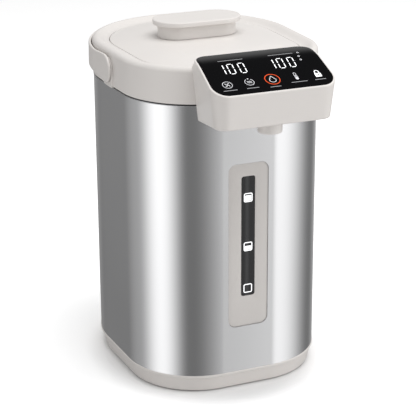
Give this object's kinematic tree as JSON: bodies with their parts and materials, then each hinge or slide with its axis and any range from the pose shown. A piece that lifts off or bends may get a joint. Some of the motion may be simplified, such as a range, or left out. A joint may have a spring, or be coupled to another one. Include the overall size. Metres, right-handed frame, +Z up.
{
  "type": "electric thermo pot",
  "caption": "D-shaped electric thermo pot with a steel body, a touch panel on the spout head, a level window, a lift-off lid and a fold-back strap handle.",
  "frame": {"origin": "centre of the overall plan at the level of the feet", "axes": "+Z up, +X to the right of someone facing the spout, the spout looks towards -Y"},
  "size_m": [0.2196, 0.3164, 0.3646],
  "materials": {
    "cream": "satin moulded plastic",
    "steel_shell": "fine brushed stainless steel",
    "steel": "plain stainless steel",
    "black_glass": "polished black panel",
    "smoked": "dark glossy window",
    "rubber": "matt",
    "silicone": "milky silicone",
    "dark_plastic": "fine-grained dark plastic",
    "pale_plastic": "natural plastic",
    "insulation": "felt",
    "aluminium": "cast",
    "motor": "zinc-coated",
    "board": "solder-masked board",
    "clear": "clear tube"
  },
  "bodies": {
    "pot": {"base_ring": "cream", "base_plate": "dark_plastic", "feet": "rubber", "post_screws": "steel", "pot_posts": "steel", "outer_shell": "steel_shell", "collar": "cream", "head_housing": "cream", "head_underside": "cream", "head_screws": "steel", "control_panel": "black_glass", "display_board": "board", "window_frame": "cream", "sight_window": "smoked", "hinge_pin_left": "steel", "hinge_pin_right": "steel", "inner_pot": "steel", "pot_seal": "silicone", "insulation_jacket": "insulation", "heater_plate": "aluminium", "heating_element": "motor", "thermostat": "motor", "thermal_fuse": "motor", "temperature_probe": "steel", "inlet_hose": "silicone", "pump_motor": "motor", "pump_housing": "pale_plastic", "pump_cover": "pale_plastic", "pump_hose": "silicone", "gauge_tube": "clear", "upper_elbow": "silicone", "spout_pipe": "pale_plastic", "spout_nozzle": "cream", "power_board": "board", "board_components": "dark_plastic", "power_inlet": "dark_plastic", "inlet_contacts": "steel"},
    "lid": {"lid_cover": "cream", "lid_pan": "pale_plastic", "lid_gasket": "silicone", "lid_screws": "steel", "steam_valve": "silicone", "knob_stem": "cream", "knob_plate": "cream", "knob_screws": "steel"},
    "handle": {"handle": "cream"},
    "pump_rotor": {"pump_impeller": "dark_plastic", "pump_shaft": "steel"}
  },
  "joints": [
    {"name": "lid_lift", "type": "slide", "parent": "pot", "child": "lid", "axis": [0, 0, 1], "range_m": [0, 0.06]},
    {"name": "handle_swing", "type": "hinge", "parent": "pot", "child": "handle", "pos_m": [0, 0.02022, 0.325], "axis": [1, 0, 0], "range_deg": [0, 95]},
    {"name": "pump_spin", "type": "hinge", "parent": "pot", "child": "pump_rotor", "pos_m": [0, -0.01379, 0.042], "axis": [0, 0, 1], "continuous": true}
  ]
}
